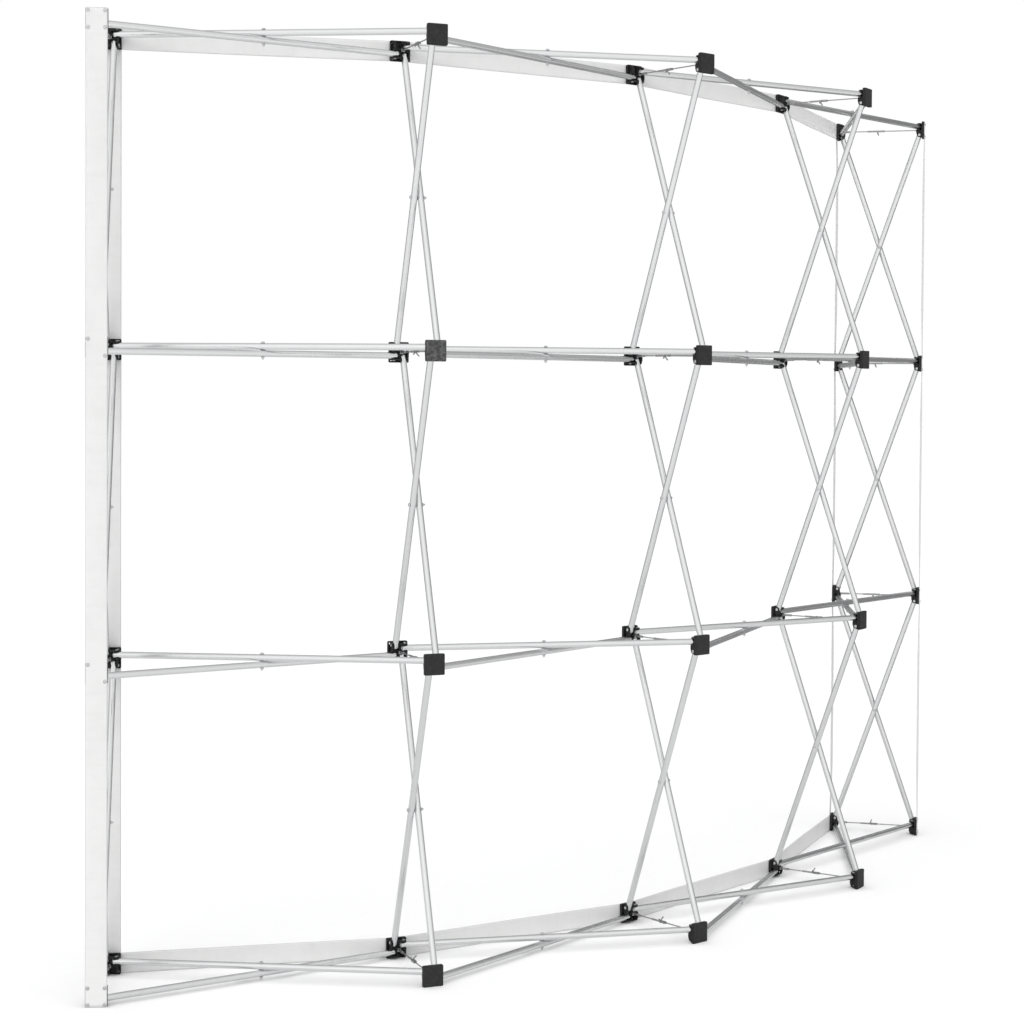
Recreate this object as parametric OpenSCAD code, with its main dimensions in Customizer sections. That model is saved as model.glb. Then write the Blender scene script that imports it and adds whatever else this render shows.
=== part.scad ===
// Curved pop-up display frame: two curved layers of moulded hubs tied by crossed tubes,
// held open by hooked lock arms, with flexible strips riveted to its edges.
// Millimetres, +Z up. The concave front faces -Y, the convex rear faces +Y.
// Columns count from -X to +X and rows count up from the floor.

/* [Frame] */
// Angle between neighbouring columns of hubs, in degrees
bay_angle = 18; // [15:0.5:20]
// Height from one row of hubs to the next
bay_h = 730; // [600:5:800]
// Distance from the faces of the front hubs to the faces of the rear hubs
frame_depth = 270; // [240:5:300]

/* [Hub] */
// Width and height of a hub's square plate
hub_w = 50; // [48:0.5:60]
// Corner radius of the plate
hub_corner_r = 3; // [1:0.5:6]
// Thickness of the plate
plate_t = 3.5; // [2.5:0.1:4]
// Thickness of the rim around the plate's back
rim_t = 1.5; // [1:0.1:1.8]
// Gap between the rim and the tubes that pass over it
rim_gap = 0.4; // [0.3:0.05:1.5]
// Distance from the hub's centre to each tube pin
pin_reach = 16; // [16:0.25:17.5]
// Depth of the tube pins behind the plate's face
pin_depth = 14.5; // [14:0.25:17]
// Thickness of the outer ear that carries a pin's head
ear_t = 3.4; // [2:0.1:4]
// Depth of the outer ear near the hub's middle
ear_depth = 24; // [22:0.25:24]
// Depth of the point in which the outer ear ends
ear_tip_depth = 21; // [20.5:0.25:22]
// Radius of the ear's round end
ear_r = 5.5; // [4.5:0.1:6]
// Thickness of the wall that closes a pocket towards the hub's centre
pocket_wall_t = 1.8; // [1.2:0.1:2.2]
// Half width of the middle block that carries the lock arm
block_half = 4.6; // [4.2:0.1:4.8]

/* [Tubes] */
// Outer diameter of the tubes
tube_d = 15.5; // [13:0.1:15.8]
// Wall of the tubes
tube_wall = 1; // [0.8:0.1:1.5]
// Gap between two crossed tubes
cross_gap = 1; // [0.6:0.1:2]
// Length of tube past a hub pin
tube_past_pin = 5.5; // [5:0.25:6.5]
// Height of the plug's dome
plug_dome_h = 5; // [3:0.25:5.5]
// Length of the plug inside the tube
plug_shank_l = 3; // [2:0.1:3.2]

/* [Pins and rivets] */
// Diameter of the hub pins and of the rivets at the crossings
pin_d = 4; // [3:0.1:4.5]
// Head diameter of the hub pins
pin_head_d = 8; // [6:0.1:9]
// Head height of the hub pins
pin_head_h = 1.8; // [1:0.1:2.2]
// Head diameter of the rivets at the crossings
rivet_head_d = 9; // [6:0.1:10]
// Head height of the rivets at the crossings
rivet_head_h = 3.8; // [1:0.1:4.5]
// Diameter of the collar that closes a rivet at a crossing
rivet_collar_d = 8; // [6:0.1:9]
// Height of the collar
rivet_collar_h = 3.6; // [2:0.1:5]
// Length of the rivet's end past its collar
rivet_end_l = 3.6; // [1:0.1:5]
// Diameter of the washer between two crossed tubes
washer_d = 12; // [9:0.1:14]
// Radial play of a pin in its bore
pin_play = 0.05; // [0.02:0.01:0.1]

/* [Strips] */
// Width of the strips
strip_w = 49; // [46:0.5:50]
// Thickness of the strips
strip_t = 1.2; // [0.8:0.1:2]
// Bow of the horizontal strips at the middle of a bay
strip_bow = 3; // [0:0.5:8]
// Height over which an upright strip steps onto the horizontal one
strip_step_h = 60; // [30:5:120]
// Distance between the rivets of a strip, both ways
rivet_pitch = 38; // [36:0.5:39]
// Diameter of the strip rivets
strip_rivet_d = 4.8; // [4:0.1:5]
// Radial play of a strip rivet in its hole
strip_rivet_play = 0.1; // [0.05:0.01:0.15]
// Head diameter of the strip rivets
strip_rivet_head_d = 9; // [8:0.1:10]
// Head height of the strip rivets
strip_rivet_head_h = 1.4; // [0.8:0.1:2]
// Thickness of the flattened tail of the strip rivets
strip_rivet_tail_h = 1.2; // [0.8:0.1:2]
// Width of the pads on the rear hubs
pad_w = 49; // [40:0.5:50]
// Thickness of the pads on the rear hubs
pad_t = 1; // [0.8:0.1:2]
// Thickness of the glue under pads and strips
glue_t = 0.05; // [0.02:0.01:0.2]

/* [Lock arms] */
// Depth of the lock arm's hinge behind the plate's face
arm_pivot_depth = 20; // [20:0.25:22]
// Diameter of the hinge pin
arm_pin_d = 2.5; // [2:0.1:3]
// Thickness of the arm's flat eye
arm_eye_t = 3; // [2.5:0.1:3.2]
// Side play of the eye between its cheeks
arm_eye_play = 0.2; // [0.1:0.05:0.3]
// Radius of the arm's eye
arm_eye_r = 3.6; // [3:0.1:3.8]
// Gap between the level arm's shoulder and the stop on the hub
arm_stop_gap = 0.3; // [0.2:0.05:0.5]
// Diameter of the arm's rod
arm_rod_d = 3; // [2.5:0.1:3.5]
// Diameter of the thick foot at the start of the front arm
arm_foot_d = 6; // [5:0.1:6.4]
// Length of the thick foot
arm_foot_l = 25; // [15:1:40]
// Diameter of the sleeve that carries the front arm's catch
arm_sleeve_d = 5; // [4.5:0.1:7]
// Length of the sleeve
arm_sleeve_l = 32; // [20:1:40]
// Height of the flat catches
catch_h = 5; // [4:0.5:8]
// Width of a catch's bar, along the arm
catch_bar = 3; // [2:0.1:4]
// Gap between the two catches
catch_gap = 0.3; // [0.25:0.05:0.5]
// Diameter of the thumb lever under the catch
lever_d = 3.6; // [2.5:0.1:4.5]
// Length of the thumb lever
lever_l = 15; // [8:0.5:20]
// Length of the short lever beside it
short_lever_l = 9; // [5:0.5:15]

/* [Hidden] */
columns = 5;
rows = 4;
bays_wide = columns - 1;
bays_high = rows - 1;

// Every crossed tube is the same length between its pins. That fixes the curve's radius.
pin_gap_depth = frame_depth - 2 * pin_depth;
half_bay = bay_angle / 2;
level_run = sqrt(pow(bay_h - 2 * pin_reach, 2) + pow(pin_gap_depth * sin(half_bay), 2));
mid_radius = (2 * pin_reach * cos(half_bay) + level_run) / (2 * sin(half_bay));
rear_pin_radius = mid_radius + pin_gap_depth / 2;
front_pin_radius = mid_radius - pin_gap_depth / 2;
rear_radius = rear_pin_radius + pin_depth;
front_radius = front_pin_radius - pin_depth;

// The part is centred in Y, from the front strips of the end columns to the rear middle pads.
end_angle = bays_wide / 2 * bay_angle;
strip_layer = glue_t + strip_t;
y_front = (front_radius - 2 * strip_layer) * cos(end_angle) - strip_w / 2 * sin(end_angle);
y_rear = rear_radius + glue_t + pad_t;
y_centre = (y_front + y_rear) / 2;

tube_r = tube_d / 2;
tube_bore_r = tube_r - tube_wall;
tube_offset = tube_r + cross_gap / 2;
tube_span = sqrt(pow(bay_h - 2 * pin_reach, 2) + pow(pin_gap_depth, 2));
pin_r = pin_d / 2;
pin_bore_r = pin_r + pin_play;

// A pocket holds one tube end between an inner wall and an outer ear.
pocket_side_play = 0.15;
pocket_in = tube_offset - tube_r - pocket_side_play;
pocket_out = tube_offset + tube_r + pocket_side_play;
inner_wall_back = -(block_half - pocket_wall_t);
rivet_tail_d = strip_rivet_d + 1.2;
rivet_tail_gap = 0.6;
ear_root_reach = rivet_pitch / 2 - rivet_tail_d / 2 - rivet_tail_gap;
wall_overlap = 0.6;
inner_wall_depth = 17;
inner_tip_depth = 23;
tip_reach = pin_reach + ear_r - 0.5;
tip_chamfer = 1.2;
tip_shoulder = 1.5;
ear_face = pocket_out + ear_t;

// The rim ends just short of the row tubes of the front hubs, which pass it closest.
rim_mid_reach = (hub_w - rim_t) / 2;
front_row_lean = atan2(pin_gap_depth * cos(half_bay), level_run) - half_bay;
rim_depth = pin_depth + (hub_w / 2 - rim_t - pin_reach) * tan(front_row_lean)
    - tube_r / cos(front_row_lean) - rim_gap;
// Behind the rivets' tails each ear reaches out to the rim.
web_depth = plate_t + strip_rivet_tail_h + rivet_tail_gap;
ear_rim_depth = rim_depth + 1.5;

arm_pin_r = arm_pin_d / 2;
slot_half = arm_eye_t / 2 + arm_eye_play;
slot_floor_depth = arm_pivot_depth - arm_eye_r - 0.4;
stop_depth = arm_pivot_depth + block_half;
shoulder_start = block_half + arm_stop_gap;
shoulder_t = 2;
shoulder_half_w = 4;
shoulder_top = 2.6;
foot_start = shoulder_start + shoulder_t;
// Distances along an arm, from its hinge. The catches meet in the middle of the frame.
arm_half_span = frame_depth / 2 - arm_pivot_depth;
catch_reach = arm_half_span + catch_gap / 2 + catch_bar;
catch_hook_half = 0.9;
catch_outer_half = 4.2;
catch_shank_in = catch_hook_half + catch_gap;
catch_shank_l = 3 * catch_bar + 4;
sleeve_end = catch_reach - catch_shank_l + 1;
catch_collar_l = 4;
lever_tilt = 75;
lever_splay = 37;

strip_hole_r = strip_rivet_d / 2 + strip_rivet_play;
plug_play = 0.03;
plug_r = tube_r - 0.15;
plug_sphere_r = (pow(plug_r, 2) + pow(plug_dome_h, 2)) / (2 * plug_dome_h);
washer_play = 0.1;

aluminium = [0.80, 0.81, 0.82];
moulding_black = [0.09, 0.09, 0.10];
pad_grey = [0.22, 0.22, 0.23];
strip_white = [0.93, 0.93, 0.92];
plug_grey = [0.74, 0.75, 0.76];
steel = [0.70, 0.70, 0.71];

arm_names = [for (side = ["front", "rear"]) for (c = [1 : columns]) for (r = [1 : rows])
    str("lock_arm_", side, "_c", c, "_r", r)];

function column_angle(c) = (c - 1 - bays_wide / 2) * bay_angle;
function row_z(r) = hub_w / 2 + (r - 1) * bay_h;
function is_corner_row(r) = r == 1 || r == rows;

// Places its children on a hub: x to the right and y up on the hub's outer face, z outwards.
module at_front_hub(c, r) {
    a = column_angle(c);
    translate([front_radius * sin(a), front_radius * cos(a) - y_centre, row_z(r)])
        rotate([90, 0, -a]) children();
}

module at_rear_hub(c, r) {
    a = column_angle(c);
    translate([rear_radius * sin(a), rear_radius * cos(a) - y_centre, row_z(r)])
        rotate([90, 0, 180 - a]) children();
}

module rounded_square(w, corner_r) {
    square([w - 2 * corner_r, w], center = true);
    square([w, w - 2 * corner_r], center = true);
    for (x = [-1, 1], y = [-1, 1])
        translate([x, y] * (w / 2 - corner_r)) circle(r = corner_r, $fn = 32);
}

// Hubs

// Corners of the square that the strip rivets make.
module at_rivet_corners(all_four) {
    for (x = [-1, 1], y = [-1, 1])
        if (all_four || x * y < 0)
            translate([x, y, 0] * (rivet_pitch / 2)) children();
}

// Side views of a pocket's two walls: x away from the hub's centre, y outwards. Both carry
// the pin in a round boss and end in a blunt point beside the tube.
module pocket_wall(points) {
    difference() {
        union() {
            polygon(points);
            translate([pin_reach, -pin_depth]) circle(r = ear_r, $fn = 48);
        }
        translate([pin_reach, -pin_depth]) circle(r = pin_bore_r, $fn = 32);
    }
}

module outer_ear_profile(start) {
    pocket_wall([
        [start, -plate_t / 2], [ear_root_reach, -plate_t / 2], [ear_root_reach, -web_depth],
        [rim_mid_reach, -web_depth], [rim_mid_reach, -ear_rim_depth],
        [tip_reach, tip_chamfer - ear_tip_depth], [tip_reach - tip_chamfer, -ear_tip_depth],
        [pin_reach - ear_r, -ear_depth], [start, -ear_depth]
    ]);
}

// The inner wall stays low near the hub's middle, where the raised lock arm passes over it.
module inner_wall_profile(start) {
    pocket_wall([
        [start, -plate_t / 2], [ear_root_reach, -plate_t / 2], [ear_root_reach, -pin_depth],
        [pin_reach + ear_r, -pin_depth], [tip_reach, tip_chamfer - inner_tip_depth],
        [tip_reach - tip_chamfer, -inner_tip_depth], [pin_reach - tip_shoulder, -inner_tip_depth],
        [pin_reach - ear_r, -inner_wall_depth], [start, -inner_wall_depth]
    ]);
}

module along_pocket(from_x, to_x) {
    translate([from_x, 0, 0]) rotate([90, 0, 90]) linear_extrude(to_x - from_x) children();
}

// The pocket above the centre. Its tube lies to the right of the hub's middle line.
module pocket() {
    ear_start = block_half - pocket_wall_t;
    along_pocket(inner_wall_back, pocket_in) inner_wall_profile(block_half - wall_overlap);
    along_pocket(pocket_out, ear_face) outer_ear_profile(ear_start);
    translate([block_half - wall_overlap, ear_start, -inner_wall_depth])
        cube([ear_face - block_half + wall_overlap, pocket_wall_t, inner_wall_depth - plate_t / 2]);
}

module arm_cheek_profile() {
    difference() {
        union() {
            translate([0, -arm_pivot_depth]) circle(r = block_half, $fn = 48);
            translate([-block_half, -arm_pivot_depth])
                square([2 * block_half, arm_pivot_depth - plate_t / 2]);
            translate([-block_half, -stop_depth]) square([block_half, block_half]);
        }
        translate([0, -arm_pivot_depth]) circle(r = arm_pin_r + pin_play, $fn = 32);
    }
}

module hub() {
    translate([0, 0, -plate_t]) linear_extrude(plate_t) difference() {
        rounded_square(hub_w, hub_corner_r);
        for (x = [-1, 1], y = [-1, 1])
            translate([x, y] * (rivet_pitch / 2)) circle(r = strip_hole_r, $fn = 32);
    }
    translate([0, 0, -rim_depth]) linear_extrude(rim_depth - plate_t / 2) difference() {
        rounded_square(hub_w, hub_corner_r);
        rounded_square(hub_w - 2 * rim_t, max(hub_corner_r - rim_t, 0.5));
    }
    for (q = [0 : 3]) rotate([0, 0, -90 * q]) pocket();
    translate([-block_half, -block_half, -slot_floor_depth])
        cube([2 * block_half, 2 * block_half, slot_floor_depth - plate_t / 2]);
    along_pocket(slot_half, block_half) arm_cheek_profile();
    along_pocket(-block_half, -slot_half) arm_cheek_profile();
}

module front_hubs() {
    color(moulding_black)
        for (c = [1 : columns], r = [1 : rows]) at_front_hub(c, r) hub();
}

module rear_hubs() {
    color(moulding_black)
        for (c = [1 : columns], r = [1 : rows]) at_rear_hub(c, r) hub();
}

module rear_hook_pads() {
    color(pad_grey)
        for (c = [2 : columns - 1], r = [1 : rows])
            at_rear_hub(c, r) translate([0, 0, glue_t])
                linear_extrude(pad_t) rounded_square(pad_w, hub_corner_r);
}

// Tubes

// A tube between two hub pins: x from pin to pin, pins along z.
module tube(rivet_at) {
    outer_l = tube_span + 2 * tube_past_pin;
    difference() {
        translate([-tube_past_pin, 0, 0]) rotate([0, 90, 0]) difference() {
            cylinder(r = tube_r, h = outer_l, $fn = 48);
            translate([0, 0, -1]) cylinder(r = tube_bore_r, h = outer_l + 2, $fn = 48);
        }
        for (x = [0, rivet_at, tube_span])
            translate([x, 0, -tube_r - 1]) cylinder(r = pin_bore_r, h = tube_d + 2, $fn = 32);
    }
}

module tube_plug() {
    cylinder(r = tube_bore_r - plug_play, h = plug_shank_l, $fn = 40);
    translate([0, 0, plug_shank_l]) intersection() {
        cylinder(r = plug_r, h = plug_dome_h, $fn = 40);
        translate([0, 0, plug_dome_h - plug_sphere_r]) sphere(r = plug_sphere_r, $fn = 40);
    }
}

// Both plugs of a tube, in the tube's own axes.
module tube_plugs() {
    for (end = [0, 1])
        translate([end * tube_span, 0, 0]) rotate([0, end == 1 ? 90 : -90, 0])
            translate([0, 0, tube_past_pin - plug_shank_l]) tube_plug();
}

// Half the width of a bay between its pins, at the rear and at the front layer.
rear_half_run = rear_pin_radius * sin(half_bay) - pin_reach * cos(half_bay);
front_half_run = front_pin_radius * sin(half_bay) - pin_reach * cos(half_bay);
row_tube_lean = atan2(pin_gap_depth * cos(half_bay), rear_half_run + front_half_run);
row_rivet_from_rear = tube_span * rear_half_run / (rear_half_run + front_half_run);
rear_pin_y = rear_pin_radius * cos(half_bay) + pin_reach * sin(half_bay);
column_tube_lean = atan2(pin_gap_depth, bay_h - 2 * pin_reach);

// Axes of a horizontal tube: it starts on the rear layer at the side given by dir and runs
// to the front layer on the other side. dir = 1 starts at the bay's +X side.
module at_row_tube(bay, r, dir) {
    mid_angle = (column_angle(bay) + column_angle(bay + 1)) / 2;
    translate([0, -y_centre, row_z(r) - dir * tube_offset]) rotate([0, 0, -mid_angle])
        translate([dir * rear_half_run, rear_pin_y, 0])
            rotate([0, 0, dir > 0 ? 180 + row_tube_lean : -row_tube_lean]) children();
}

// Axes of an upright tube in one column, above row r. dir = 1 starts at the rear layer and
// climbs to the front layer, dir = -1 starts at the front layer.
module at_column_tube(c, r, dir) {
    a = column_angle(c);
    start_radius = dir > 0 ? rear_pin_radius : front_pin_radius;
    translate([0, -y_centre, row_z(r) + pin_reach]) rotate([0, 0, -a])
        translate([-dir * tube_offset, start_radius, 0])
            rotate([0, 0, -90 * dir]) rotate([0, -(90 - column_tube_lean), 0])
                rotate([-90, 0, 0]) children();
}

module row_tubes(dir) {
    for (bay = [1 : bays_wide], r = [1 : rows])
        at_row_tube(bay, r, dir) tube(row_rivet_from_rear);
}

module column_tubes(dir) {
    for (c = [1 : columns], r = [1 : bays_high])
        at_column_tube(c, r, dir) tube(tube_span / 2);
}

module row_tubes_upper() { color(aluminium) row_tubes(-1); }
module row_tubes_lower() { color(aluminium) row_tubes(1); }
module column_tubes_rising_front() { color(aluminium) column_tubes(1); }
module column_tubes_rising_rear() { color(aluminium) column_tubes(-1); }

module tube_end_plugs() {
    color(plug_grey) for (dir = [-1, 1]) {
        for (bay = [1 : bays_wide], r = [1 : rows]) at_row_tube(bay, r, dir) tube_plugs();
        for (c = [1 : columns], r = [1 : bays_high]) at_column_tube(c, r, dir) tube_plugs();
    }
}

// Pins and rivets

// A domed head on a round shank. The head sits above z = 0 and the shank hangs below.
module headed_pin(shank_r, shank_l, head_d, head_h) {
    translate([0, 0, -shank_l]) cylinder(r = shank_r, h = shank_l + head_h / 3, $fn = 32);
    rotate_extrude($fn = 40) polygon([
        [0, 0], [head_d / 2, 0], [head_d / 2, head_h * 0.45],
        [head_d * 0.36, head_h * 0.85], [head_d * 0.2, head_h], [0, head_h]
    ]);
}

// The pin of one pocket runs from the outer ear through the tube into the inner wall.
module pocket_pin() {
    translate([ear_face, pin_reach, -pin_depth]) rotate([0, 90, 0])
        headed_pin(pin_r, ear_face - inner_wall_back - 0.2, pin_head_d, pin_head_h);
}

// The pockets in use: 0 above, 1 right, 2 below, 3 left, as seen on the hub's outer face.
function used_pockets(c, r, right_is_plus_x) = [
    if (r < rows) 0,
    if (right_is_plus_x ? c < columns : c > 1) 1,
    if (r > 1) 2,
    if (right_is_plus_x ? c > 1 : c < columns) 3
];

module hub_pins() {
    color(steel) for (c = [1 : columns], r = [1 : rows]) {
        at_front_hub(c, r)
            for (q = used_pockets(c, r, true)) rotate([0, 0, -90 * q]) pocket_pin();
        at_rear_hub(c, r)
            for (q = used_pockets(c, r, false)) rotate([0, 0, -90 * q]) pocket_pin();
    }
}

// Places its children at every crossing, between the two tubes, with z along the rivet.
module at_crossings() {
    for (bay = [1 : bays_wide], r = [1 : rows])
        at_row_tube(bay, r, 1) translate([row_rivet_from_rear, 0, tube_offset]) children();
    for (c = [1 : columns], r = [1 : bays_high])
        at_column_tube(c, r, 1) translate([tube_span / 2, 0, tube_offset]) children();
}

// The collar that closes the rivet of a crossing, with the rivet's end standing out of it.
module rivet_collar() {
    top = rivet_collar_h + rivet_end_l;
    rotate_extrude($fn = 40) polygon([
        [0, 0], [rivet_collar_d / 2, 0], [rivet_collar_d / 2, rivet_collar_h * 0.6],
        [rivet_collar_d * 0.36, rivet_collar_h], [pin_r, rivet_collar_h],
        [pin_r, rivet_collar_h + rivet_end_l * 0.4], [pin_r * 0.4, top], [0, top]
    ]);
}

module scissor_rivets() {
    reach = tube_offset + tube_r;
    color(steel) at_crossings() {
        translate([0, 0, reach]) headed_pin(pin_r, 2 * reach, rivet_head_d, rivet_head_h);
        rotate([180, 0, 0]) translate([0, 0, reach]) rivet_collar();
    }
}

module scissor_washers() {
    t = cross_gap - 2 * washer_play;
    color(plug_grey) at_crossings() translate([0, 0, -t / 2]) difference() {
        cylinder(d = washer_d, h = t, $fn = 40);
        translate([0, 0, -1]) cylinder(r = pin_bore_r, h = t + 2, $fn = 32);
    }
}

// Strips

function reversed(v) = [for (k = [len(v) - 1 : -1 : 0]) v[k]];
// A point at radius r in column angle a, moved t sideways along the hub's face.
function plan_point(a, r, t) = [r * sin(a) + t * cos(a), r * cos(a) - t * sin(a)];
// The line of a horizontal strip in plan: flat on each hub, bowed a little between hubs.
function strip_line(r) = [
    for (c = [1 : columns]) let (
        a = column_angle(c),
        left = c == 1 ? strip_w / 2 : hub_w / 2,
        right = c == columns ? strip_w / 2 : hub_w / 2,
        bay_mid = r * cos(half_bay) + hub_w / 2 * sin(half_bay) - strip_bow
    ) each concat(
        [plan_point(a, r, -left), plan_point(a, r, right)],
        c < columns ? [plan_point(a + half_bay, bay_mid, 0)] : []
    )
];

module strip_holes(c, r, all_four) {
    at_front_hub(c, r) at_rivet_corners(all_four)
        translate([0, 0, -plate_t]) cylinder(r = strip_hole_r, h = plate_t + 10, $fn = 32);
}

module horizontal_strip(r) {
    near = front_radius - glue_t;
    difference() {
        translate([0, -y_centre, row_z(r) - strip_w / 2]) linear_extrude(strip_w)
            polygon(concat(strip_line(near), reversed(strip_line(near - strip_t))));
        for (c = [1 : columns]) strip_holes(c, r, c == 1 || c == columns);
    }
}

// Side view of an upright front strip: x outwards from the hubs' faces, y up. It lies on the
// hubs and steps out over the horizontal strips at both ends.
module stepped_strip_profile() {
    low = row_z(1);
    high = row_z(rows);
    flat = glue_t;
    raised = glue_t + strip_layer;
    line = [
        [raised, low - strip_w / 2], [raised, low + hub_w / 2],
        [flat, low + hub_w / 2 + strip_step_h], [flat, high - hub_w / 2 - strip_step_h],
        [raised, high - hub_w / 2], [raised, high + strip_w / 2]
    ];
    polygon(concat(line, reversed([for (p = line) p + [strip_t, 0]])));
}

module front_upright_strip(c) {
    a = column_angle(c);
    difference() {
        translate([front_radius * sin(a), front_radius * cos(a) - y_centre, 0])
            rotate([0, 0, -a]) translate([strip_w / 2, 0, 0]) rotate([90, 0, -90])
                linear_extrude(strip_w) stepped_strip_profile();
        for (r = [1 : rows]) strip_holes(c, r, is_corner_row(r));
    }
}

module rear_upright_strip(c) {
    difference() {
        at_rear_hub(c, 1) translate([-strip_w / 2, -strip_w / 2, glue_t])
            cube([strip_w, bays_high * bay_h + strip_w, strip_t]);
        for (r = [1 : rows]) at_rear_hub(c, r) at_rivet_corners(is_corner_row(r))
            translate([0, 0, -plate_t]) cylinder(r = strip_hole_r, h = plate_t + 10, $fn = 32);
    }
}

module top_strip() { color(strip_white) horizontal_strip(rows); }
module bottom_strip() { color(strip_white) horizontal_strip(1); }
module front_left_strip() { color(strip_white) front_upright_strip(1); }
module front_right_strip() { color(strip_white) front_upright_strip(columns); }
module rear_left_strip() { color(strip_white) rear_upright_strip(1); }
module rear_right_strip() { color(strip_white) rear_upright_strip(columns); }

// A rivet through a stack of strips and the hub's plate, with its flattened tail behind.
module strip_rivet(stack) {
    shank_l = stack + plate_t + strip_rivet_tail_h;
    translate([0, 0, stack])
        headed_pin(strip_rivet_d / 2, shank_l, strip_rivet_head_d, strip_rivet_head_h);
    translate([0, 0, -plate_t - strip_rivet_tail_h])
        cylinder(d = rivet_tail_d, h = strip_rivet_tail_h, $fn = 32);
}

module strip_rivets() {
    color(steel) for (c = [1 : columns], r = [1 : rows]) {
        is_edge = c == 1 || c == columns;
        is_corner = is_edge && is_corner_row(r);
        if (is_edge || is_corner_row(r))
            at_front_hub(c, r) at_rivet_corners(is_corner)
                strip_rivet(is_corner ? 2 * strip_layer : strip_layer);
        if (is_edge)
            at_rear_hub(c, r) at_rivet_corners(is_corner) strip_rivet(strip_layer);
    }
}

// Lock arms

module lock_arm_pins() {
    pin_l = 2 * block_half;
    color(steel) for (c = [1 : columns], r = [1 : rows]) {
        at_front_hub(c, r) translate([-pin_l / 2, 0, -arm_pivot_depth])
            rotate([0, 90, 0]) cylinder(r = arm_pin_r, h = pin_l, $fn = 32);
        at_rear_hub(c, r) translate([-pin_l / 2, 0, -arm_pivot_depth])
            rotate([0, 90, 0]) cylinder(r = arm_pin_r, h = pin_l, $fn = 32);
    }
}

// The arm's hinge end in its own axes: hinge at the origin along x, arm along z, y up.
module arm_root() {
    difference() {
        union() {
            along_pocket(-arm_eye_t / 2, arm_eye_t / 2) circle(r = arm_eye_r, $fn = 40);
            translate([-arm_eye_t / 2, -2, 0]) cube([arm_eye_t, 4, foot_start]);
        }
        translate([-arm_eye_t, 0, 0]) rotate([0, 90, 0])
            cylinder(r = arm_pin_r + pin_play, h = 2 * arm_eye_t, $fn = 32);
    }
    translate([-shoulder_half_w, -block_half + 0.2, shoulder_start])
        cube([2 * shoulder_half_w, block_half - 0.2 + shoulder_top, shoulder_t]);
}

// The flat catch at the arm's end, seen from above: a shank at one side and a bar across.
module arm_catch() {
    shank_w = catch_outer_half - catch_shank_in;
    rotate([90, 0, 0]) translate([0, 0, -catch_h / 2]) linear_extrude(catch_h) {
        translate([catch_shank_in, catch_reach - catch_shank_l]) square([shank_w, catch_shank_l]);
        translate([-catch_hook_half, catch_reach - catch_bar])
            square([catch_outer_half + catch_hook_half, catch_bar]);
        translate([-catch_outer_half, catch_reach - catch_shank_l])
            square([2 * catch_outer_half, catch_shank_l - 2 * catch_bar - 2 * catch_gap - 1]);
    }
}

module round_bar(r, from_z, to_z) {
    translate([0, 0, from_z]) cylinder(r = r, h = to_z - from_z, $fn = 32);
}

// lever_up = -1 hangs the thumb lever below the arm, 1 stands it above.
module front_arm(lever_up) {
    arm_root();
    round_bar(arm_foot_d / 2, foot_start, foot_start + arm_foot_l);
    round_bar(arm_rod_d / 2, foot_start, sleeve_end);
    round_bar(arm_sleeve_d / 2, sleeve_end - arm_sleeve_l, sleeve_end);
    arm_catch();
    translate([0, 0, sleeve_end - lever_d / 2]) {
        rotate([-lever_up * lever_tilt, 0, -lever_up * lever_splay])
            cylinder(d = lever_d, h = lever_l, $fn = 32);
        rotate([-lever_up * lever_tilt, 0, lever_up * lever_splay])
            cylinder(d = lever_d, h = short_lever_l, $fn = 32);
    }
}

module rear_arm() {
    arm_root();
    round_bar(arm_rod_d / 2, foot_start, sleeve_end);
    round_bar(arm_sleeve_d / 2, sleeve_end - catch_collar_l, sleeve_end);
    arm_catch();
}

// An arm lies along the hub's inward axis at rest.
module along_inward() {
    translate([0, 0, -arm_pivot_depth]) rotate([0, 180, 0]) children();
}

module lock_arm_front(c, r) {
    color(steel) at_front_hub(c, r) along_inward() front_arm(r == 1 ? 1 : -1);
}

module lock_arm_rear(c, r) {
    color(steel) at_rear_hub(c, r) along_inward() rear_arm();
}

front_hubs();
rear_hubs();
rear_hook_pads();
row_tubes_upper();
row_tubes_lower();
column_tubes_rising_front();
column_tubes_rising_rear();
tube_end_plugs();
hub_pins();
scissor_rivets();
scissor_washers();
top_strip();
bottom_strip();
front_left_strip();
front_right_strip();
rear_left_strip();
rear_right_strip();
strip_rivets();
lock_arm_pins();
for (c = [1 : columns]) for (r = [1 : rows]) {
    lock_arm_front(c, r);
    lock_arm_rear(c, r);
}
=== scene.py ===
"""Dresses the CAD frame of a curved pop-up display: finishes, hook strips, hook pads, camera and studio.

Metres, +Z up. The concave front faces -Y and the convex rear faces +Y.
Columns count from -X to +X and rows count up from the floor.
"""
import math

import bmesh
import bpy
from mathutils import Matrix, Vector, noise


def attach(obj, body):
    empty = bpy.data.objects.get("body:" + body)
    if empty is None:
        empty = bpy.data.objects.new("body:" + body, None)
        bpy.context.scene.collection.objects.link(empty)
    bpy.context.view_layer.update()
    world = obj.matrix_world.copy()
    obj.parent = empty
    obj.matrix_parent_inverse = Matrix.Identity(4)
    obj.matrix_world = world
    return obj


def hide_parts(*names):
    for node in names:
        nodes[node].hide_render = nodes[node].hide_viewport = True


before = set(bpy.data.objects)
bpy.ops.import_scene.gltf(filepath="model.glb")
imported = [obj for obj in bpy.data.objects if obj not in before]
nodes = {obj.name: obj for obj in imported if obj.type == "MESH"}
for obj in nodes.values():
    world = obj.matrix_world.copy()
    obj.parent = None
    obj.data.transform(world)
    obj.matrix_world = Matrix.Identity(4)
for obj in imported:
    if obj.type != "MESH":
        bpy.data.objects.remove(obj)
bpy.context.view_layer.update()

# The frame's own sizes, in metres and radians
COLUMNS, ROWS = 5, 4
MIDDLE_COLUMN = (COLUMNS + 1) // 2
BAY = math.radians(18)
BAY_H = 0.730
HUB_W = 0.050
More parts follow.
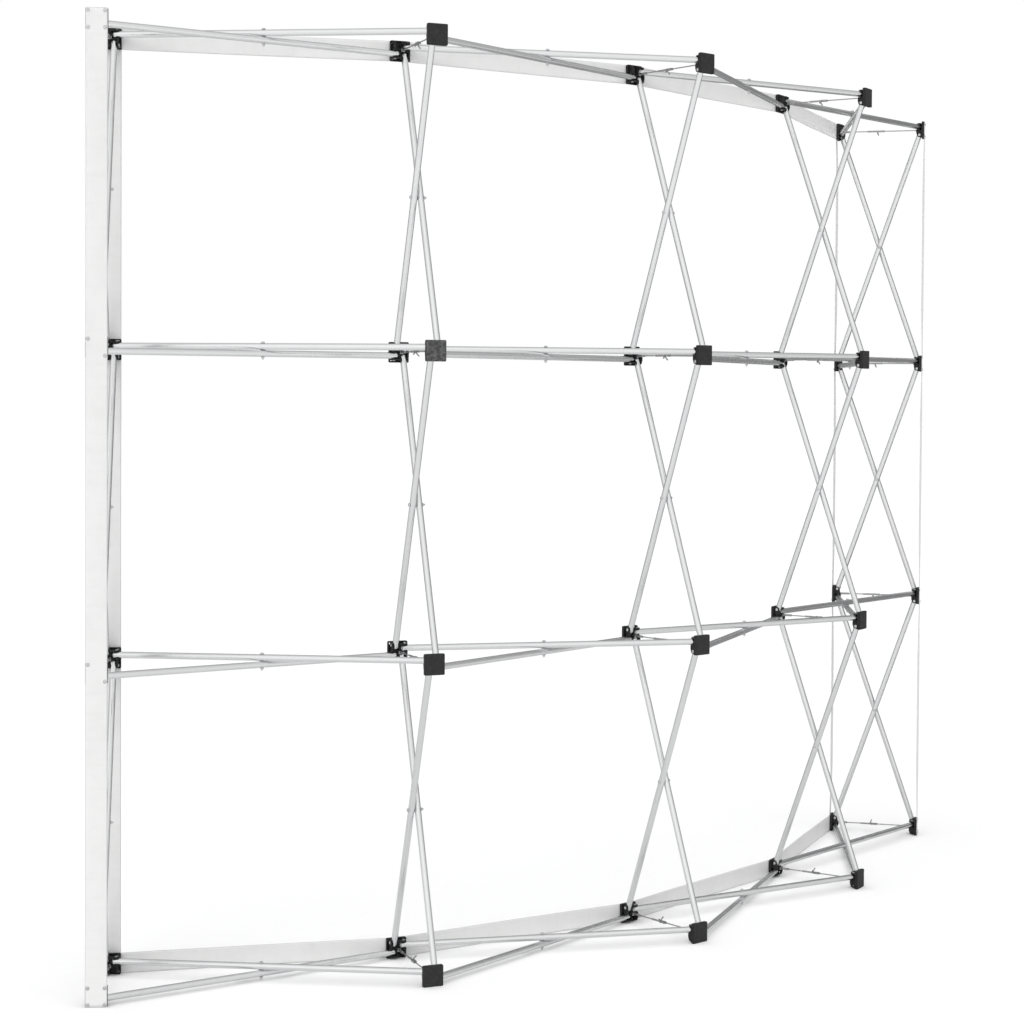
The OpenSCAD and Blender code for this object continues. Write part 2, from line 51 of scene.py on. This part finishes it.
FRONT_R = 2.2002381
REAR_R = 2.4702381
Y_CENTRE = 2.1174474

# From one pin of a tube to its other pin: in depth, and along its row or column
PIN_DEPTH = 0.241
PIN_RUN = 0.698
ROW_LEAN = math.atan2(PIN_DEPTH * math.cos(BAY / 2), PIN_RUN)
COLUMN_LEAN = math.atan2(PIN_DEPTH, PIN_RUN)

# Strips and pads
STRIP_W = 0.049
STRIP_T = 0.0012
GLUE = 0.00005
STRIP_LAYER = STRIP_T + GLUE
STEP_H = 0.060
BOW = 0.003
PAD_W, PAD_T = 0.049, 0.001
RIB_PITCH, THREAD_PITCH, HOOK_PITCH = 0.0016, 0.0012, 0.0015
STRIP_STEP = 0.008
WORN_PAD = (4, 3)

# Rounding of the hubs' edges
EDGE_ROUND = 0.0005
WELD_REACH = 0.00001
SHARP_ANGLE = math.radians(40)

# Camera, fitted to the photograph
PHOTO_PX = 1024
FOCAL_PX = 2062.35
SENSOR = 36
CAMERA_PLACE = (3.72333, 3.99313, 1.394745)
CAMERA_YAW, CAMERA_PITCH, CAMERA_ROLL = 3.84247, -0.02599, 0.00573
CAMERA_SHIFT = (0.00561, -0.06678)
CAMERA_CLIP_END = 100

# Studio: directions in plan, shares and sizes
TO_CAMERA = (0.645, 0.764)
BRIGHT_SIDE = (0.735, 0.678)
SIDE_SHARE, HEIGHT_SHARE = 0.92, 0.39
FLOOR_HALF = 60
FLAG_X, FLAG_FRONT, FLAG_BACK, FLAG_TOP = -1.75, -1.2, 0.95, 2.6

WHITE = (1.0, 1.0, 1.0, 1)
BLACK = (0.0, 0.0, 0.0, 1)
UP = Vector((0, 0, 1))


def row_z(r):
    return HUB_W / 2 + (r - 1) * BAY_H


def column_angle(c):
    return (c - MIDDLE_COLUMN) * BAY


def outward(angle):
    """Away from the curve's centre, in plan."""
    return Vector((math.sin(angle), math.cos(angle), 0))


def face_across(angle):
    """Sideways along the faces of a column's hubs, in plan."""
    return Vector((math.cos(angle), -math.sin(angle), 0))


def plan(angle, radius, sideways=0.0):
    """A point of the plan: out along a column's angle, then sideways along its hubs' faces."""
    return Vector((radius * math.sin(angle) + sideways * math.cos(angle),
                   radius * math.cos(angle) - sideways * math.sin(angle) - Y_CENTRE, 0))


def link(obj):
    bpy.context.scene.collection.objects.link(obj)
    return obj


def add_camera():
    """Camera at the photograph's place and angle."""
    yaw, pitch, roll = CAMERA_YAW, CAMERA_PITCH, CAMERA_ROLL
    forward = Vector((math.sin(yaw) * math.cos(pitch), math.cos(yaw) * math.cos(pitch), math.sin(pitch)))
    level = Vector((math.cos(yaw), -math.sin(yaw), 0))
    upright = level.cross(forward)
    right = level * math.cos(roll) + upright * math.sin(roll)
    up = upright * math.cos(roll) - level * math.sin(roll)
    data = bpy.data.cameras.new("camera")
    data.sensor_width = SENSOR
    data.lens = FOCAL_PX * SENSOR / PHOTO_PX
    data.shift_x, data.shift_y = CAMERA_SHIFT
    data.clip_end = CAMERA_CLIP_END
    camera = bpy.data.objects.new("camera", data)
    turn = Matrix((right, up, -forward)).transposed().to_4x4()
    camera.matrix_world = Matrix.Translation(CAMERA_PLACE) @ turn
    bpy.context.scene.camera = link(camera)


add_camera()


class Nodes:
    """A short way to write a material's node tree."""

    def __init__(self, tree):
        self.tree = tree

    def add(self, kind, out=0, props=None, **inputs):
        """A new node, as its output number out, or as the node itself where out is None."""
        n = self.tree.nodes.new(kind)
        for key, value in (props or {}).items():
            setattr(n, key, value)
        for key, value in inputs.items():
            self.put(n, key, value)
        return n if out is None else n.outputs[out]

    def put(self, n, key, value):
        """Links or sets an input of n. The key i3 is input number 3, and other keys are inputs' names."""
        numbered = key[0] == "i" and key[1:].isdigit()
        socket = n.inputs[int(key[1:])] if numbered else n.inputs[key.replace("_", " ")]
        if isinstance(value, bpy.types.NodeSocket):
            self.tree.links.new(value, socket)
        else:
            socket.default_value = value

    def math(self, operation, a, b=0.0):
        return self.add("ShaderNodeMath", props={"operation": operation}, i0=a, i1=b)

    def plus(self, a, b):
        return self.math("ADD", a, b)

    def minus(self, a, b):
        return self.math("SUBTRACT", a, b)

    def times(self, a, b):
        return self.math("MULTIPLY", a, b)

    def wave(self, distance, pitch):
        return self.math("SINE", self.times(distance, 2 * math.pi / pitch))

    def noise(self, vector, scale, detail=2.0, roughness=0.5):
        return self.add("ShaderNodeTexNoise", Vector=vector, Scale=scale, Detail=detail, Roughness=roughness)

    def ramp(self, value, source, target):
        """Carries value from the span source to the span target, and holds at its ends."""
        low, high = source
        to_low, to_high = target
        return self.add("ShaderNodeMapRange", i0=value, i1=low, i2=high, i3=to_low, i4=to_high)

    def mix(self, factor, a, b):
        n = self.add("ShaderNodeMix", out=None, props={"data_type": "RGBA"})
        self.put(n, "i0", factor)
        self.put(n, "i6", a)
        self.put(n, "i7", b)
        return n.outputs[2]

    def combine(self, x, y, z):
        return self.add("ShaderNodeCombineXYZ", i0=x, i1=y, i2=z)

    def split(self, vector):
        return self.add("ShaderNodeSeparateXYZ", out=None, i0=vector).outputs

    def place(self):
        return self.add("ShaderNodeTexCoord", out="Object")

    def bump(self, height, strength, distance, normal=None):
        n = self.add("ShaderNodeBump", out=None, Height=height, Strength=strength, Distance=distance)
        if normal is not None:
            self.put(n, "Normal", normal)
        return n.outputs[0]


def new_material(name, **constants):
    """A material with its nodes. Each constant sets the shader's input of that name."""
    material = bpy.data.materials.new(name)
    material.use_nodes = True
    n = Nodes(material.node_tree)
    shader = material.node_tree.nodes["Principled BSDF"]
    for key, value in constants.items():
        n.put(shader, key, value)
    return material, n, shader


def arc_coordinates(n, between_columns):
    """Position along the hubs' faces, outwards and up, in the axes of the nearest column or bay."""
    x, y, z = n.split(n.place())
    away = n.plus(y, Y_CENTRE)
    turn = n.math("DIVIDE", n.math("ARCTAN2", x, away), BAY)
    if between_columns:
        turn = n.plus(n.math("FLOOR", turn), 0.5)
    else:
        turn = n.math("ROUND", turn)
    angle = n.times(turn, BAY)
    sine, cosine = n.math("SINE", angle), n.math("COSINE", angle)
    side = n.minus(n.times(x, cosine), n.times(away, sine))
    out = n.plus(n.times(x, sine), n.times(away, cosine))
    return side, out, z


def along_and_across(n, a, b, lean):
    """Turns two coordinates by lean, so that the first runs along a tube."""
    along = n.plus(n.times(a, math.cos(lean)), n.times(b, math.sin(lean)))
    across = n.minus(n.times(b, math.cos(lean)), n.times(a, math.sin(lean)))
    return along, across


def tube_material(name, horizontal, lean):
    """Satin aluminium tube: faint draw lines along it, uneven tone, light handling marks."""
    dull, bright, handled = (0.80, 0.805, 0.81, 1), (0.84, 0.845, 0.85, 1), (0.70, 0.705, 0.71, 1)
    material, n, shader = new_material(name, Metallic=1.0, IOR=1.45)
    side, out, z = arc_coordinates(n, between_columns=horizontal)
    if horizontal:
        along, across = along_and_across(n, side, out, lean)
        third = z
    else:
        along, across = along_and_across(n, z, out, lean)
        third = side

    def drawn_out(fine, coarse):
        """Coordinates that are fine across the tube and coarse along it."""
        return n.combine(n.times(across, fine), n.times(third, fine), n.times(along, coarse))

    lines = n.noise(drawn_out(1400.0, 9.0), scale=1.0, detail=2.0, roughness=0.6)
    marks = n.noise(drawn_out(60.0, 14.0), scale=1.0, detail=4.0, roughness=0.62)
    batch = n.noise(n.place(), scale=1.7, detail=1.0)
    tone = n.mix(n.ramp(batch, (0.35, 0.65), (0.0, 1.0)), dull, bright)
    tone = n.mix(n.ramp(marks, (0.6, 0.78), (0.0, 0.35)), tone, handled)
    n.put(shader, "Base Color", tone)
    rough = n.plus(n.ramp(lines, (0.3, 0.7), (0.18, 0.26)), n.ramp(marks, (0.5, 0.8), (0.0, 0.10)))
    n.put(shader, "Roughness", rough)
    n.put(shader, "Normal", n.bump(lines, strength=0.12, distance=0.0002))
    return material


def hub_material():
    """Black moulded nylon with a fine grain and paler rubbed patches."""
    deep, pale, rubbed = (0.017, 0.017, 0.0175, 1), (0.023, 0.023, 0.0237, 1), (0.040, 0.040, 0.041, 1)
    material, n, shader = new_material("moulded_black", IOR=1.5, Specular_IOR_Level=0.2)
    place = n.place()
    grain = n.noise(place, scale=1500.0, detail=2.0, roughness=0.6)
    rub = n.noise(place, scale=55.0, detail=5.0, roughness=0.65)
    cast = n.noise(place, scale=9.0, detail=2.0)
    tone = n.mix(n.ramp(cast, (0.35, 0.65), (0.0, 1.0)), deep, pale)
    tone = n.mix(n.ramp(rub, (0.58, 0.8), (0.0, 0.5)), tone, rubbed)
    n.put(shader, "Base Color", tone)
    rough = n.plus(n.ramp(grain, (0.3, 0.7), (0.40, 0.50)), n.ramp(rub, (0.55, 0.8), (0.0, 0.12)))
    n.put(shader, "Roughness", rough)
    n.put(shader, "Normal", n.bump(grain, strength=0.25, distance=0.0003))
    return material


def steel_material(name, colour, roughness):
    """Zinc plated steel with fine turning marks and slight clouding. roughness is its lowest and highest."""
    dark = tuple(v * 0.80 for v in colour[:3]) + (1.0,)
    material, n, shader = new_material(name, Metallic=1.0, IOR=1.45)
    place = n.place()
    cloud = n.noise(place, scale=130.0, detail=4.0, roughness=0.6)
    fine = n.noise(place, scale=2600.0, detail=2.0, roughness=0.5)
    n.put(shader, "Base Color", n.mix(n.ramp(cloud, (0.4, 0.72), (0.0, 1.0)), colour, dark))
    n.put(shader, "Roughness", n.ramp(cloud, (0.3, 0.7), roughness))
    n.put(shader, "Normal", n.bump(fine, strength=0.15, distance=0.0002))
    return material


def plug_material():
    """Pale grey moulded plastic, slightly clouded."""
    pale, dull = (0.56, 0.57, 0.58, 1), (0.48, 0.49, 0.50, 1)
    material, n, shader = new_material("plug_grey", IOR=1.5)
    place = n.place()
    cloud = n.noise(place, scale=70.0, detail=3.0, roughness=0.6)
    grain = n.noise(place, scale=1800.0, detail=2.0, roughness=0.6)
    n.put(shader, "Base Color", n.mix(n.ramp(cloud, (0.35, 0.7), (0.0, 1.0)), pale, dull))
    n.put(shader, "Roughness", n.ramp(grain, (0.3, 0.7), (0.38, 0.48)))
    n.put(shader, "Normal", n.bump(grain, strength=0.2, distance=0.0002))
    return material


def strip_material():
    """White hook tape: ribs across it, woven grain, a little soiling, painted shade in its creases and along
    its edges. UV holds metres.
    """
    clean, soiled = (0.815, 0.815, 0.81, 1), (0.765, 0.765, 0.76, 1)
    bright_yarn, painted_crease_shade = (0.865, 0.865, 0.86, 1), (0.70, 0.70, 0.695, 1)
    painted_edge_shade = (0.50, 0.50, 0.50, 1)
    material, n, shader = new_material("hook_strip_white", IOR=1.45, Specular_IOR_Level=0.15,
                                       Sheen_Weight=0.12, Sheen_Roughness=0.4)
    u, v, _ = n.split(n.add("ShaderNodeTexCoord", out="UV"))
    weave = n.times(n.wave(v, RIB_PITCH), n.plus(n.times(n.wave(u, THREAD_PITCH), 0.5), 0.75))
    place = n.place()
    soil = n.noise(place, scale=14.0, detail=5.0, roughness=0.62)
    yarn = n.noise(place, scale=900.0, detail=2.0, roughness=0.6)
    edge = n.minus(STRIP_W / 2, n.math("ABSOLUTE", u))
    drawn = n.combine(n.times(u, 7.0), n.times(v, 70.0), 0.0)
    creases = n.noise(drawn, scale=1.0, detail=3.0, roughness=0.6)
    tone = n.mix(n.ramp(soil, (0.45, 0.75), (0.0, 1.0)), clean, soiled)
    tone = n.mix(n.ramp(yarn, (0.35, 0.75), (0.0, 0.35)), tone, bright_yarn)
    # Painted shade: the tape's colour is darkened along the crease pattern, as shade in its creases.
    tone = n.mix(n.ramp(creases, (0.52, 0.78), (0.0, 0.22)), tone, painted_crease_shade)
    # Painted shade: the colour turns grey within about 1.3 mm of each edge, as shade along the edges.
    tone = n.mix(n.ramp(edge, (0.0002, 0.0013), (0.85, 0.0)), tone, painted_edge_shade)
    n.put(shader, "Base Color", tone)
    n.put(shader, "Roughness", n.ramp(soil, (0.3, 0.7), (0.62, 0.74)))
    relief = n.bump(creases, strength=0.12, distance=0.0006)
    n.put(shader, "Normal", n.bump(weave, strength=0.09, distance=0.00012, normal=relief))
    return material


def pad_material():
    """Dark hook tape with uneven pile. Where pad_uv says worn, the pile is rubbed grey."""
    dark, pale, patchy = (0.024, 0.024, 0.0245, 1), (0.040, 0.040, 0.041, 1), (0.058, 0.058, 0.059, 1)
    worn_grey = (0.15, 0.15, 0.153, 1)
    material, n, shader = new_material("hook_pad_dark", IOR=1.45, Specular_IOR_Level=0.15,
                                       Sheen_Weight=0.03, Sheen_Roughness=0.5)
    u, v, worn = n.split(n.add("ShaderNodeAttribute", out="Vector", props={"attribute_name": "pad_uv"}))
    hooks = n.times(n.wave(u, HOOK_PITCH), n.wave(v, HOOK_PITCH))
    place = n.place()
    pile = n.noise(place, scale=700.0, detail=3.0, roughness=0.65)
    patch = n.noise(place, scale=110.0, detail=6.0, roughness=0.7)
    tone = n.mix(n.ramp(pile, (0.35, 0.7), (0.0, 1.0)), dark, pale)
    tone = n.mix(n.ramp(patch, (0.45, 0.70), (0.0, 0.6)), tone, patchy)
    rubbed = n.times(worn, n.ramp(patch, (0.42, 0.62), (0.25, 1.0)))
    n.put(shader, "Base Color", n.mix(rubbed, tone, worn_grey))
    n.put(shader, "Roughness", n.ramp(pile, (0.3, 0.7), (0.62, 0.78)))
    relief = n.bump(pile, strength=0.5, distance=0.0006)
    n.put(shader, "Normal", n.bump(hooks, strength=0.4, distance=0.0004, normal=relief))
    return material


def set_material(obj, material):
    if obj.data.materials:
        for k in range(len(obj.data.materials)):
            obj.data.materials[k] = material
    else:
        obj.data.materials.append(material)


# The CAD pieces keep their shape and get their finish
steel = steel_material("pin_steel", (0.70, 0.70, 0.71, 1), (0.26, 0.38))
arm_steel = steel_material("arm_steel", (0.43, 0.43, 0.44, 1), (0.20, 0.32))
rivet_steel = steel_material("rivet_steel", (0.64, 0.64, 0.64, 1), (0.20, 0.30))
plug = plug_material()
finish_of = {
    "front_hubs": hub_material(),
    "row_tubes_upper": tube_material("tube_row_upper", True, -ROW_LEAN),
    "row_tubes_lower": tube_material("tube_row_lower", True, ROW_LEAN),
    "column_tubes_rising_front": tube_material("tube_column_rising_front", False, -COLUMN_LEAN),
    "column_tubes_rising_rear": tube_material("tube_column_rising_rear", False, COLUMN_LEAN),
    "tube_end_plugs": plug, "scissor_washers": plug,
    "hub_pins": steel, "scissor_rivets": steel, "strip_rivets": rivet_steel, "lock_arm_pins": steel,
}
finish_of["rear_hubs"] = finish_of["front_hubs"]
for name, obj in nodes.items():
    material = finish_of.get(name) or (arm_steel if name.startswith("lock_arm") else None)
    if material:
        set_material(obj, material)


def soften_edges(obj, width):
    """Rounds the sharp edges of a CAD piece, as moulding leaves them."""
    weld = obj.modifiers.new("weld", "WELD")
    weld.merge_threshold = WELD_REACH
    bevel = obj.modifiers.new("edges", "BEVEL")
    bevel.width = width
    bevel.segments = 2
    bevel.limit_method = "ANGLE"
    bevel.angle_limit = SHARP_ANGLE
    bevel.harden_normals = False
    bevel.use_clamp_overlap = True


def closed_object(name, bm, material):
    """Turns a closed bmesh into an object of the scene."""
    bmesh.ops.recalc_face_normals(bm, faces=bm.faces)
    mesh = bpy.data.meshes.new(name)
    bm.to_mesh(mesh)
    bm.free()
    mesh.materials.append(material)
    return link(bpy.data.objects.new(name, mesh))


# Hook strips
strip_white = strip_material()


def resample(points, step):
    """Points of a line at even spacing, keeping its corners, each with the distance run so far."""
    out, run = [], 0.0
    for a, b in zip(points, points[1:]):
        length = (b - a).length
        count = max(1, round(length / step))
        for k in range(count):
            out.append((a.lerp(b, k / count), run + length * k / count))
        run += length
    out.append((points[-1], run))
    return out


def ribbon(name, line, across_of, out_of, relief):
    """A strip of cloth along line, STRIP_W wide and STRIP_T thick, thinner at its edges, and its length.
    across_of and out_of give the unit directions across the strip and out of its face.
    relief(run, u) is how far the strip stands off the line, u being the place across it."""
    cuts, edge_w, edge_thinning = 14, 0.0012, 0.28
    half = STRIP_W / 2
    places = [-half + STRIP_W * k / cuts for k in range(cuts + 1)]
    ring = [(u, True) for u in places] + [(u, False) for u in reversed(places)]
    spots = resample(line, STRIP_STEP)
    bm = bmesh.new()
    uv = bm.loops.layers.uv.new("UVMap")
    rows, coords = [], []
    for point, run in spots:
        across, out = across_of(point), out_of(point)
        row = []
        for u, outer in ring:
            edge = max(0.0, abs(u) - (half - edge_w)) / edge_w
            thin = STRIP_T * edge_thinning * edge * edge
            height = (STRIP_T - thin) if outer else thin
            row.append(bm.verts.new(point + across * u + out * (height + relief(run, u))))
        rows.append(row)
        coords.append([(u, run) for u, _ in ring])
    count = len(ring)
    for i in range(len(rows) - 1):
        for k in range(count):
            m = (k + 1) % count
            face = bm.faces.new((rows[i][k], rows[i][m], rows[i + 1][m], rows[i + 1][k]))
            for loop, (p, q) in zip(face.loops, ((i, k), (i, m), (i + 1, m), (i + 1, k))):
                loop[uv].uv = coords[p][q]
            face.smooth = True
    for end in (rows[0][::-1], rows[-1]):
        face = bm.faces.new(end)
        for loop in face.loops:
            loop[uv].uv = (0, 0)
    return closed_object(name, bm, strip_white), spots[-1][1]


def finish_strip(obj, node, length):
    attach(obj, "frame")
    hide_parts(node)


def ripple(seed, run, u, calm):
    """Slight waves of a strip that hangs between rivets. calm is the distance to the nearest hub's edge."""
    fully_free, wave_depth, crinkle_depth = 0.12, 0.0016, 0.00035
    free = min(1.0, max(0.0, calm / fully_free))
    wave = noise.noise(Vector((run * 5.5, u * 9.0, seed * 7.3)))
    crinkle = noise.noise(Vector((run * 26.0, u * 30.0, seed * 3.1)))
    return free * (wave_depth * wave + crinkle_depth * crinkle)


def fold_mark(distance, height, width, dip, dip_width):
    """The mark of a fold at that distance: a narrow ridge with a shallow dip on both sides."""
    return height * math.exp(-(distance / width) ** 2) - dip * math.exp(-(distance / dip_width) ** 2)


def horizontal_strip(name, node, r, seed):
    """A strip over the five front hubs of row r, bowed a little and folded at the middle of each bay."""
    points_per_column, wave_share = 3, 0.8
    # The strip grows forwards from this radius, so it lies STRIP_T further forward than the CAD's.
    # That is a fault.
    radius = FRONT_R - GLUE - STRIP_T
    line = []
    for c in range(1, COLUMNS + 1):
        a = column_angle(c)
        left = STRIP_W / 2 if c == 1 else HUB_W / 2
        right = STRIP_W / 2 if c == COLUMNS else HUB_W / 2
        line += [plan(a, radius, -left), plan(a, radius, right)]
        if c < COLUMNS:
            mid = radius * math.cos(BAY / 2) + HUB_W / 2 * math.sin(BAY / 2) - BOW
            line.append(plan(a + BAY / 2, mid))
    for p in line:
        p.z = row_z(r)
    spans = [0.0]
    for p, q in zip(line, line[1:]):
        spans.append(spans[-1] + (q - p).length)
    flats = [(spans[k * points_per_column], spans[k * points_per_column + 1]) for k in range(COLUMNS)]
    creases = [spans[k * points_per_column + 2] for k in range(COLUMNS - 1)]

    def relief(run, u):
        calm = min(max(lo - run, run - hi, 0.0) for lo, hi in flats)
        near = min(abs(run - c) for c in creases)
        fold = fold_mark(near, height=0.0011, width=0.004, dip=0.0006, dip_width=0.014)
        return -ripple(seed, run, u, calm) * wave_share - fold

    def out_of(point):
        """Towards the curve's centre, which is in front."""
        return -outward(math.atan2(point.x, point.y + Y_CENTRE))

    obj, length = ribbon(name, line, lambda point: UP, out_of, relief)
    finish_strip(obj, node, length)


def upright_strip(name, node, c, rear, seed):
    """A strip over the four hubs of an end column. In front it steps over the horizontal strips."""
    a = column_angle(c)
    out = outward(a) * (1 if rear else -1)
    across = face_across(a)
    low, high = row_z(1), row_z(ROWS)
    face = plan(a, REAR_R if rear else FRONT_R)
    if rear:
        profile = [(GLUE, low - STRIP_W / 2), (GLUE, high + STRIP_W / 2)]
    else:
        raised = GLUE + STRIP_LAYER
        profile = [(raised, low - STRIP_W / 2), (raised, low + HUB_W / 2),
                   (GLUE, low + HUB_W / 2 + STEP_H), (GLUE, high - HUB_W / 2 - STEP_H),
                   (raised, high - HUB_W / 2), (raised, high + STRIP_W / 2)]
    line = [face + out * off + Vector((0, 0, z)) for off, z in profile]
    fully_cupped, cup_balance = 0.15, 0.3
    cup_depth, wave_share = (0.0040, 0.0) if c == 1 else (0.0022, 0.5)

    def relief(run, u):
        """The strip waves a little and cups across its width where it hangs free."""
        z = low - STRIP_W / 2 + run
        calm = min(max(abs(z - row_z(r)) - HUB_W / 2, 0.0) for r in range(1, ROWS + 1))
        near = min(abs(z - (row_z(r) + BAY_H / 2)) for r in range(1, ROWS))
        fold = fold_mark(near, height=0.0010, width=0.0035, dip=0.0004, dip_width=0.012)
        cup = cup_depth * min(1.0, calm / fully_cupped) * ((2 * u / STRIP_W) ** 2 - cup_balance)
        return wave_share * ripple(seed, run, u, calm) + fold - cup

    obj, length = ribbon(name, line, lambda point: across, lambda point: out, relief)
    finish_strip(obj, node, length)


horizontal_strip("hook_strip_top", "top_strip", ROWS, 1)
horizontal_strip("hook_strip_bottom", "bottom_strip", 1, 2)
upright_strip("hook_strip_front_left", "front_left_strip", 1, False, 3)
upright_strip("hook_strip_front_right", "front_right_strip", COLUMNS, False, 4)
upright_strip("hook_strip_rear_left", "rear_left_strip", 1, True, 5)
upright_strip("hook_strip_rear_right", "rear_right_strip", COLUMNS, True, 6)


# Hook pads on the rear hubs
pad_dark = pad_material()


def rounded_square(x, y, half, corner):
    """Moves a point of a square grid into the square's outline with rounded corners."""
    reach = half - corner
    dx, dy = max(0.0, abs(x) - reach), max(0.0, abs(y) - reach)
    d = math.hypot(dx, dy)
    if d > 1e-9:
        far = max(dx, dy)
        dx, dy = dx / d * far, dy / d * far
    return math.copysign(min(abs(x), reach) + dx, x), math.copysign(min(abs(y), reach) + dy, y)


def hook_pad(c, r):
    """A square of hook tape: slightly pillowed, with soft corners and an edge that isn't quite straight."""
    corner, cells, edge_w = 0.003, 30, 0.0012
    wobble_share, nap_depth, front_drop, back_lift = 0.006, 0.00010, 0.45, 0.12
    half = PAD_W / 2
    a = column_angle(c)
    out = outward(a)
    across = -face_across(a)
    centre = plan(a, REAR_R + GLUE) + UP * row_z(r)
    worn = 1.0 if (c, r) == WORN_PAD else 0.0
    bm = bmesh.new()
    layer = bm.verts.layers.float_vector.new("pad_uv")
    grid = {}
    for side in (0, 1):
        for i in range(cells + 1):
            for j in range(cells + 1):
                x, y = rounded_square(-half + PAD_W * i / cells, -half + PAD_W * j / cells, half, corner)
                border = min(half - abs(x), half - abs(y))
                wobble = 1 - wobble_share * abs(noise.noise(Vector((x * 160, y * 160, c * 5.1 + r))))
                round_off = max(0.0, 1 - border / edge_w)
                nap = nap_depth * noise.noise(Vector((x * 420, y * 420, c * 3.7 + r * 1.9)))
                front = PAD_T * (1 - front_drop * round_off ** 2) + nap
                height = front if side else PAD_T * back_lift * round_off
                v = bm.verts.new(centre + across * (x * wobble) + UP * (y * wobble) + out * height)
                v[layer] = (x, y, worn)
                grid[side, i, j] = v
    for i in range(cells):
        for j in range(cells):
            for side in (0, 1):
                corners = ((i, j), (i + 1, j), (i + 1, j + 1), (i, j + 1))
                quad = [grid[side, p, q] for p, q in corners]
                bm.faces.new(quad if side else quad[::-1]).smooth = True
    rim = ([(i, 0) for i in range(cells)] + [(cells, j) for j in range(cells)]
           + [(i, cells) for i in range(cells, 0, -1)] + [(0, j) for j in range(cells, 0, -1)])
    for k, (i, j) in enumerate(rim):
        p, q = rim[(k + 1) % len(rim)]
        bm.faces.new((grid[0, i, j], grid[0, p, q], grid[1, p, q], grid[1, i, j])).smooth = True
    obj = closed_object(f"hook_pad_c{c}_r{r}", bm, pad_dark)
    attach(obj, "frame")
    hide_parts("rear_hook_pads")


for c in range(2, COLUMNS):
    for r in range(1, ROWS + 1):
        hook_pad(c, r)

for name in ("front_hubs", "rear_hubs"):
    soften_edges(nodes[name], EDGE_ROUND)


# Floor, world and lamps
def distance_along(n, x, y, direction):
    return n.plus(n.times(x, direction[0]), n.times(y, direction[1]))


def backdrop_rays(n):
    """1 for camera, glossy and transmission rays, then 1 for glossy and transmission rays alone."""
    path = n.add("ShaderNodeLightPath", out=None)
    mirror = n.math("MAXIMUM", path.outputs["Is Glossy Ray"], path.outputs["Is Transmission Ray"])
    return n.math("MAXIMUM", path.outputs["Is Camera Ray"], mirror), mirror


def flat_object(name, corners, material):
    mesh = bpy.data.meshes.new(name)
    mesh.from_pydata(corners, [], [(0, 1, 2, 3)])
    mesh.materials.append(material)
    return link(bpy.data.objects.new(name, mesh))


def add_floor():
    """White studio floor. Metal sees it dim, the more so towards the far end of the studio."""
    own_glow = 0.05
    material, n, shader = new_material("floor_pale", Roughness=0.9, Specular_IOR_Level=0.0)
    output = material.node_tree.nodes["Material Output"]
    place = n.place()
    x, y, _ = n.split(place)
    seen, mirror = backdrop_rays(n)
    towards = distance_along(n, x, y, TO_CAMERA)
    far_shade = n.ramp(towards, (-5.0, 0.5), (0.645, 0.24))
    shade = n.minus(far_shade, n.ramp(towards, (1.0, 3.5), (0.0, 0.17)))
    dim = n.times(mirror, shade)
    mottle = n.noise(place, scale=30.0, detail=2.0)
    paper = n.mix(mottle, (0.85, 0.85, 0.85, 1), (0.87, 0.87, 0.87, 1))
    n.put(shader, "Base Color", n.mix(dim, paper, BLACK))
    glow = n.times(n.times(seen, own_glow), n.minus(1.0, dim))
    emission = n.add("ShaderNodeEmission", Color=WHITE, Strength=glow)
    n.put(output, "Surface", n.add("ShaderNodeAddShader", i0=shader.outputs[0], i1=emission))
    s = FLOOR_HALF
    floor = flat_object("floor", [(-s, -s, 0), (s, -s, 0), (s, s, 0), (-s, s, 0)], material)


def add_world():
    """White to look at, plain soft light on the object, and for metal a studio whose far end is dim."""
    world = bpy.data.worlds.new("studio")
    bpy.context.scene.world = world
    world.use_nodes = True
    background = world.node_tree.nodes["Background"]
    n = Nodes(world.node_tree)
    x, y, z = n.split(n.add("ShaderNodeTexCoord", out="Generated"))
    seen, mirror = backdrop_rays(n)
    side = n.plus(n.times(distance_along(n, x, y, BRIGHT_SIDE), SIDE_SHARE), n.times(z, HEIGHT_SHARE))
    level = n.plus(n.ramp(side, (-1.0, 0.0), (0.20, 0.56)), n.ramp(side, (0.0, 1.0), (0.0, 0.52)))
    looked_at = n.mix(mirror, WHITE, n.combine(level, level, level))
    n.put(background, "Color", n.mix(seen, (0.30, 0.30, 0.303, 1), looked_at))
    n.put(background, "Strength", 1.0)


def add_flag():
    """A dark card beside the frame's far end, which only the metal mirrors."""
    material, n, _ = new_material("flag_dark")
    glow = n.add("ShaderNodeEmission", Color=(0.25, 0.25, 0.253, 1), Strength=1.0)
    n.put(material.node_tree.nodes["Material Output"], "Surface", glow)
    corners = [(FLAG_X, FLAG_FRONT, 0), (FLAG_X, FLAG_BACK, 0),
               (FLAG_X, FLAG_BACK, FLAG_TOP), (FLAG_X, FLAG_FRONT, FLAG_TOP)]
    flag = flat_object("flag", corners, material)
    for kind in ("camera", "diffuse", "shadow", "transmission", "volume_scatter"):
        setattr(flag, "visible_" + kind, False)


def add_sun(name, towards, strength, degrees):
    """A soft lamp in the direction towards, degrees wide, which metal doesn't mirror."""
    data = bpy.data.lights.new(name, "SUN")
    data.energy = strength
    data.angle = math.radians(degrees)
    lamp = link(bpy.data.objects.new(name, data))
    lamp.rotation_euler = Vector(towards).to_track_quat("Z", "Y").to_euler()
    lamp.visible_glossy = False


add_floor()
add_world()
add_flag()
add_sun("soft_top", (0.15, 0.12, 1.0), strength=2.45, degrees=110)
add_sun("soft_left", (0.85, 0.50, 0.45), strength=0.68, degrees=60)
bpy.context.scene.view_settings.view_transform = "Standard"
